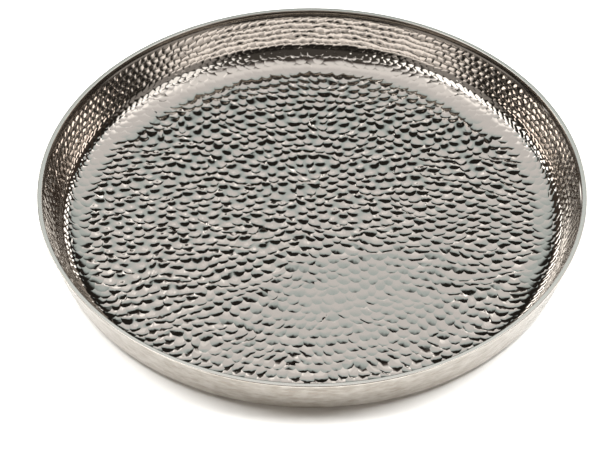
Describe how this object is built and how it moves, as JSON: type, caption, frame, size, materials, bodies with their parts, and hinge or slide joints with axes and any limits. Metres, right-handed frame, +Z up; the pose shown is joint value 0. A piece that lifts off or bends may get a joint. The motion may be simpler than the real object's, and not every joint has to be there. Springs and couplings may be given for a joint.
{
  "type": "hammered serving tray",
  "caption": "Round open serving tray with low flared sides, a hand-hammered polished liner and a smooth outer shell whose edge is folded over the liner as a narrow rim.",
  "frame": {"origin": "centre of the ring that the tray stands on, at the surface it stands on", "axes": "+Z up along the axis of the round tray, out of its open side; X and Y are free because the tray is round"},
  "size_m": [0.406, 0.4058, 0.038],
  "materials": {
    "smooth_steel": "smooth, soft polish",
    "hammered_steel": "hammered by hand and polished bright",
    "fibre_board": "plain grey-brown board, hidden between the floors"
  },
  "bodies": {
    "root": {"outer_shell": "smooth_steel", "inner_pan": "hammered_steel", "floor_pad": "fibre_board"}
  },
  "joints": []
}
